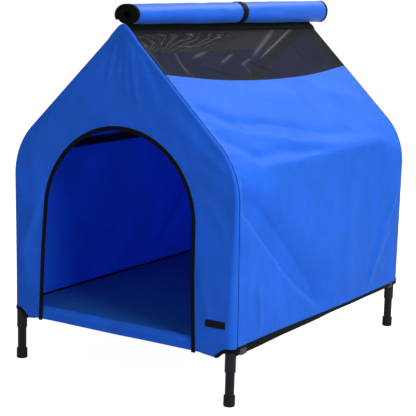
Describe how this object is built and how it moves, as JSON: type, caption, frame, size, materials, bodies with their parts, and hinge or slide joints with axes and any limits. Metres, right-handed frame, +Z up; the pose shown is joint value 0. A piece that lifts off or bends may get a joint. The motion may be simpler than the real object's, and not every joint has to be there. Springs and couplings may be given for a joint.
{
  "type": "raised pet house",
  "caption": "Raised fabric pet house on a tube frame, with an arched door, a tensioned floor, mesh roof windows and a rolled roof flap.",
  "frame": {"origin": "on the ground, at the middle of the bounding box of the whole object", "axes": "+Z up, +X to the right as seen from the front, -Y out of the doorway"},
  "size_m": [0.662, 0.965, 0.916],
  "materials": {
    "blue_cloth": "matt woven polyester",
    "floor_cloth": "matt woven polyester",
    "black_mesh": "open mesh",
    "black_binding": "ribbed binding tape",
    "black_webbing": "woven webbing",
    "patch_cloth": "satin tape",
    "hook_and_loop": "loop pile",
    "frame_steel": "fine-textured powder coat",
    "socket_plastic": "moulded, fine grain",
    "foot_rubber": "matt rubber"
  },
  "bodies": {
    "house": {"foot_cap_fl": "foot_rubber", "rafter_fl": "frame_steel", "leg_fl": "frame_steel", "corner_socket_fl": "socket_plastic", "eave_tee_fl": "socket_plastic", "notch_binding_fl": "black_binding", "foot_cap_fr": "foot_rubber", "rafter_fr": "frame_steel", "leg_fr": "frame_steel", "corner_socket_fr": "socket_plastic", "eave_tee_fr": "socket_plastic", "notch_binding_fr": "black_binding", "foot_cap_rl": "foot_rubber", "rafter_rl": "frame_steel", "leg_rl": "frame_steel", "corner_socket_rl": "socket_plastic", "eave_tee_rl": "socket_plastic", "notch_binding_rl": "black_binding", "foot_cap_rr": "foot_rubber", "rafter_rr": "frame_steel", "leg_rr": "frame_steel", "corner_socket_rr": "socket_plastic", "eave_tee_rr": "socket_plastic", "notch_binding_rr": "black_binding", "base_rail_front": "frame_steel", "base_rail_rear": "frame_steel", "base_rail_left": "frame_steel", "base_rail_right": "frame_steel", "hoop_front_left": "frame_steel", "hoop_front_right": "frame_steel", "hoop_rear_left": "frame_steel", "hoop_rear_right": "frame_steel", "eave_rail_left": "frame_steel", "eave_rail_right": "frame_steel", "ridge_rail": "frame_steel", "ridge_connector_front": "socket_plastic", "ridge_connector_rear": "socket_plastic", "cover_front": "blue_cloth", "cover_rear": "blue_cloth", "cover_left": "blue_cloth", "cover_right": "blue_cloth", "floor_bed": "floor_cloth", "mesh_window_left": "black_mesh", "mesh_window_right": "black_mesh", "ridge_band": "black_binding", "door_binding": "black_binding", "side_hem_tape_left": "black_binding", "side_hem_tape_right": "black_binding", "blank_patch": "patch_cloth"},
    "roof_flap": {"roof_flap_roll": "blue_cloth", "flap_neck": "black_binding"},
    "tie": {"flap_tie": "black_webbing"},
    "corner_tab_fl": {"corner_tab_fl": "hook_and_loop"},
    "corner_tab_fr": {"corner_tab_fr": "hook_and_loop"},
    "corner_tab_rl": {"corner_tab_rl": "hook_and_loop"},
    "corner_tab_rr": {"corner_tab_rr": "hook_and_loop"}
  },
  "joints": [
    {"name": "roof_flap_tip", "type": "hinge", "parent": "house", "child": "roof_flap", "pos_m": [0.02628, -0.0275, 0.83767], "axis": [0, 1, 0], "range_deg": [0, 118]},
    {"name": "tie_open", "type": "hinge", "parent": "roof_flap", "child": "tie", "pos_m": [-0.02629, 0.0175, 0.88307], "axis": [0, -1, 0], "range_deg": [0, 160]},
    {"name": "corner_tab_fl_peel", "type": "hinge", "parent": "house", "child": "corner_tab_fl", "pos_m": [-0.3259, -0.4335, 0.134], "axis": [0, 1, 0], "range_deg": [0, 150]},
    {"name": "corner_tab_fr_peel", "type": "hinge", "parent": "house", "child": "corner_tab_fr", "pos_m": [0.3259, -0.4335, 0.134], "axis": [0, -1, 0], "range_deg": [0, 150]},
    {"name": "corner_tab_rl_peel", "type": "hinge", "parent": "house", "child": "corner_tab_rl", "pos_m": [-0.3259, 0.3785, 0.134], "axis": [0, 1, 0], "range_deg": [0, 150]},
    {"name": "corner_tab_rr_peel", "type": "hinge", "parent": "house", "child": "corner_tab_rr", "pos_m": [0.3259, 0.3785, 0.134], "axis": [0, -1, 0], "range_deg": [0, 150]}
  ]
}
